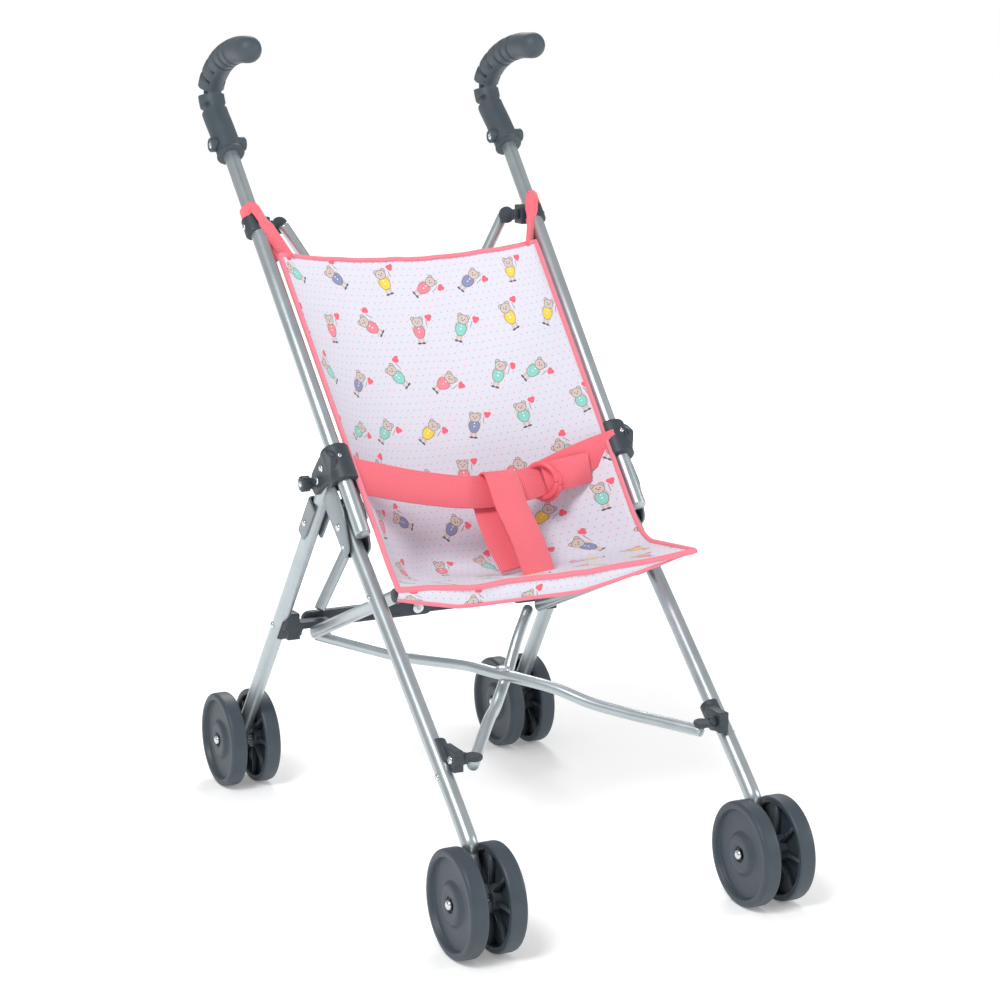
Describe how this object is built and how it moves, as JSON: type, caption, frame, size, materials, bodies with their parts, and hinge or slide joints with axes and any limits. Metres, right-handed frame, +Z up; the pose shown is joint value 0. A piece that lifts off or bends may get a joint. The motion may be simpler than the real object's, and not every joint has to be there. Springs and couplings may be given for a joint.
{
  "type": "doll umbrella stroller",
  "caption": "Folding doll umbrella stroller: tube frame with hooked grips, scissor braces, twin wheels, slung printed fabric seat, lap and crotch straps.",
  "frame": {"origin": "on the floor, below the middle of the object's box", "axes": "+Z up, -Y the way the child faces and the stroller is pushed, +X to the right seen from the front"},
  "size_m": [0.2712, 0.4732, 0.5538],
  "materials": {
    "painted_tube": "satin silver paint on steel tube",
    "pressed_steel": "satin",
    "zinc_rivets": "bright zinc plate",
    "bracket_plastic": "moulded, fine satin",
    "grip_plastic": "moulded, fine satin",
    "wheel_plastic": "moulded, fine satin",
    "printed_fabric": "plain woven cotton with a small print",
    "webbing": "woven webbing and binding tape",
    "coral_plastic": "moulded, gloss"
  },
  "bodies": {
    "left_side": {"handle_tube_left": "painted_tube", "grip_left": "grip_plastic", "knuckle_collar_left": "bracket_plastic", "front_channel_left": "pressed_steel", "front_leg_left": "painted_tube", "front_bracket_left": "bracket_plastic", "upper_clamp_left": "bracket_plastic", "front_axle_left": "zinc_rivets", "seat_sling": "printed_fabric", "front_valance": "printed_fabric", "lap_strap": "webbing", "crotch_strap": "webbing", "buckle_ring": "coral_plastic", "corner_loop_left": "webbing", "corner_loop_right": "webbing"},
    "right_side": {"handle_tube_right": "painted_tube", "grip_right": "grip_plastic", "knuckle_collar_right": "bracket_plastic", "front_channel_right": "pressed_steel", "front_leg_right": "painted_tube", "front_bracket_right": "bracket_plastic", "upper_clamp_right": "bracket_plastic", "front_axle_right": "zinc_rivets"},
    "rear_leg_left": {"rear_leg_left": "painted_tube", "rear_channel_left": "pressed_steel", "rear_bracket_left": "bracket_plastic", "rear_axle_left": "zinc_rivets"},
    "upper_swivel_left": {"upper_swivel_left": "bracket_plastic"},
    "rear_brace_left": {"rear_brace_left": "painted_tube", "rear_brace_rivet": "zinc_rivets"},
    "lower_swivel_left": {"lower_swivel_left": "bracket_plastic"},
    "lower_brace_left": {"lower_brace_left": "painted_tube"},
    "seat_rail_left": {"seat_rail_left": "painted_tube", "rail_cap_left": "bracket_plastic"},
    "lock_bar_left": {"lock_bar_left": "bracket_plastic", "lock_pin": "zinc_rivets"},
    "front_wheel_inner_left": {"front_wheel_inner_left": "wheel_plastic"},
    "front_wheel_outer_left": {"front_wheel_outer_left": "wheel_plastic"},
    "rear_wheel_inner_left": {"rear_wheel_inner_left": "wheel_plastic"},
    "rear_wheel_outer_left": {"rear_wheel_outer_left": "wheel_plastic"},
    "rear_leg_right": {"rear_leg_right": "painted_tube", "rear_channel_right": "pressed_steel", "rear_bracket_right": "bracket_plastic", "rear_axle_right": "zinc_rivets"},
    "upper_swivel_right": {"upper_swivel_right": "bracket_plastic"},
    "rear_brace_right": {"rear_brace_right": "painted_tube"},
    "lower_swivel_right": {"lower_swivel_right": "bracket_plastic"},
    "lower_brace_right": {"lower_brace_right": "painted_tube", "lower_brace_rivet": "zinc_rivets"},
    "seat_rail_right": {"seat_rail_right": "painted_tube", "rail_cap_right": "bracket_plastic"},
    "lock_bar_right": {"lock_bar_right": "bracket_plastic"},
    "front_wheel_inner_right": {"front_wheel_inner_right": "wheel_plastic"},
    "front_wheel_outer_right": {"front_wheel_outer_right": "wheel_plastic"},
    "rear_wheel_inner_right": {"rear_wheel_inner_right": "wheel_plastic"},
    "rear_wheel_outer_right": {"rear_wheel_outer_right": "wheel_plastic"},
    "latch_knob": {"latch_knob": "bracket_plastic"}
  },
  "joints": [
    {"name": "frame_fold", "type": "slide", "parent": "left_side", "child": "right_side", "axis": [-1, 0, 0], "range_m": [0, 0.113], "deforming": ["seat_sling", "front_valance", "lap_strap", "crotch_strap", "buckle_ring", "corner_loop_left", "corner_loop_right"]},
    {"name": "rear_leg_left_fold", "type": "hinge", "parent": "left_side", "child": "rear_leg_left", "pos_m": [-0.10553, 0.02835, 0.258], "axis": [1, 0, 0], "range_deg": [-38.38, 0]},
    {"name": "upper_swivel_left_tilt", "type": "hinge", "parent": "left_side", "child": "upper_swivel_left", "pos_m": [-0.09, 0.15051, 0.42067], "axis": [1, 0, 0], "range_deg": [-14.3, 0]},
    {"name": "rear_brace_left_turn", "type": "hinge", "parent": "upper_swivel_left", "child": "rear_brace_left", "pos_m": [-0.09, 0.15051, 0.42067], "axis": [0, 0.9866, -0.1631], "range_deg": [0, 21.66]},
    {"name": "lower_swivel_left_tilt", "type": "hinge", "parent": "left_side", "child": "lower_swivel_left", "pos_m": [-0.084, -0.15545, 0.1117], "axis": [1, 0, 0], "range_deg": [-17.17, 0]},
    {"name": "lower_brace_left_turn", "type": "hinge", "parent": "lower_swivel_left", "child": "lower_brace_left", "pos_m": [-0.084, -0.15545, 0.1117], "axis": [0, -0.0923, 0.9957], "range_deg": [0, 23.61]},
    {"name": "seat_rail_left_fold", "type": "hinge", "parent": "left_side", "child": "seat_rail_left", "pos_m": [-0.09, -0.04965, 0.1935], "axis": [1, 0, 0], "range_deg": [0, 60.6]},
    {"name": "lock_bar_left_fold", "type": "hinge", "parent": "rear_leg_left", "child": "lock_bar_left", "pos_m": [-0.086, 0.1205, 0.1385], "axis": [0, 1, 0], "range_deg": [-72.06, 0]},
    {"name": "front_wheel_inner_left_spin", "type": "hinge", "parent": "left_side", "child": "front_wheel_inner_left", "pos_m": [-0.104, -0.20165, 0.035], "axis": [1, 0, 0], "continuous": true},
    {"name": "front_wheel_outer_left_spin", "type": "hinge", "parent": "left_side", "child": "front_wheel_outer_left", "pos_m": [-0.104, -0.20165, 0.035], "axis": [1, 0, 0], "continuous": true},
    {"name": "rear_wheel_inner_left_spin", "type": "hinge", "parent": "rear_leg_left", "child": "rear_wheel_inner_left", "pos_m": [-0.1144, 0.18635, 0.035], "axis": [1, 0, 0], "continuous": true},
    {"name": "rear_wheel_outer_left_spin", "type": "hinge", "parent": "rear_leg_left", "child": "rear_wheel_outer_left", "pos_m": [-0.1144, 0.18635, 0.035], "axis": [1, 0, 0], "continuous": true},
    {"name": "rear_leg_right_fold", "type": "hinge", "parent": "right_side", "child": "rear_leg_right", "pos_m": [0.10553, 0.02835, 0.258], "axis": [1, 0, 0], "range_deg": [-38.38, 0]},
    {"name": "upper_swivel_right_tilt", "type": "hinge", "parent": "right_side", "child": "upper_swivel_right", "pos_m": [0.09, 0.15051, 0.42067], "axis": [1, 0, 0], "range_deg": [-14.3, 0]},
    {"name": "rear_brace_right_turn", "type": "hinge", "parent": "upper_swivel_right", "child": "rear_brace_right", "pos_m": [0.09, 0.15051, 0.42067], "axis": [0, 0.9866, -0.1631], "range_deg": [-21.66, 0]},
    {"name": "lower_swivel_right_tilt", "type": "hinge", "parent": "right_side", "child": "lower_swivel_right", "pos_m": [0.084, -0.15545, 0.1117], "axis": [1, 0, 0], "range_deg": [-17.17, 0]},
    {"name": "lower_brace_right_turn", "type": "hinge", "parent": "lower_swivel_right", "child": "lower_brace_right", "pos_m": [0.084, -0.15545, 0.1117], "axis": [0, -0.0923, 0.9957], "range_deg": [-23.61, 0]},
    {"name": "seat_rail_right_fold", "type": "hinge", "parent": "right_side", "child": "seat_rail_right", "pos_m": [0.09, -0.04965, 0.1935], "axis": [1, 0, 0], "range_deg": [0, 60.6]},
    {"name": "lock_bar_right_fold", "type": "hinge", "parent": "rear_leg_right", "child": "lock_bar_right", "pos_m": [0.086, 0.1205, 0.1385], "axis": [0, 1, 0], "range_deg": [0, 72.06]},
    {"name": "front_wheel_inner_right_spin", "type": "hinge", "parent": "right_side", "child": "front_wheel_inner_right", "pos_m": [0.104, -0.20165, 0.035], "axis": [1, 0, 0], "continuous": true},
    {"name": "front_wheel_outer_right_spin", "type": "hinge", "parent": "right_side", "child": "front_wheel_outer_right", "pos_m": [0.104, -0.20165, 0.035], "axis": [1, 0, 0], "continuous": true},
    {"name": "rear_wheel_inner_right_spin", "type": "hinge", "parent": "rear_leg_right", "child": "rear_wheel_inner_right", "pos_m": [0.1144, 0.18635, 0.035], "axis": [1, 0, 0], "continuous": true},
    {"name": "rear_wheel_outer_right_spin", "type": "hinge", "parent": "rear_leg_right", "child": "rear_wheel_outer_right", "pos_m": [0.1144, 0.18635, 0.035], "axis": [1, 0, 0], "continuous": true},
    {"name": "latch_knob_pull", "type": "slide", "parent": "left_side", "child": "latch_knob", "axis": [-1, 0, 0], "range_m": [0, 0.003], "stiffness_N_per_m": 300}
  ],
  "couplings": [
    {"joint": "rear_leg_left_fold", "follows": "frame_fold", "rad_per_m": -5.8693},
    {"joint": "upper_swivel_left_tilt", "follows": "frame_fold", "rad_per_m": -2.1875},
    {"joint": "rear_brace_left_turn", "follows": "frame_fold", "rad_per_m": 3.3123},
    {"joint": "lower_swivel_left_tilt", "follows": "frame_fold", "rad_per_m": -2.6257},
    {"joint": "lower_brace_left_turn", "follows": "frame_fold", "rad_per_m": 3.6107},
    {"joint": "seat_rail_left_fold", "follows": "frame_fold", "rad_per_m": 9.2672},
    {"joint": "lock_bar_left_fold", "follows": "frame_fold", "rad_per_m": -11.02},
    {"joint": "rear_leg_right_fold", "follows": "frame_fold", "rad_per_m": -5.8693},
    {"joint": "upper_swivel_right_tilt", "follows": "frame_fold", "rad_per_m": -2.1875},
    {"joint": "rear_brace_right_turn", "follows": "frame_fold", "rad_per_m": -3.3123},
    {"joint": "lower_swivel_right_tilt", "follows": "frame_fold", "rad_per_m": -2.6257},
    {"joint": "lower_brace_right_turn", "follows": "frame_fold", "rad_per_m": -3.6107},
    {"joint": "seat_rail_right_fold", "follows": "frame_fold", "rad_per_m": 9.2672},
    {"joint": "lock_bar_right_fold", "follows": "frame_fold", "rad_per_m": 11.02}
  ]
}
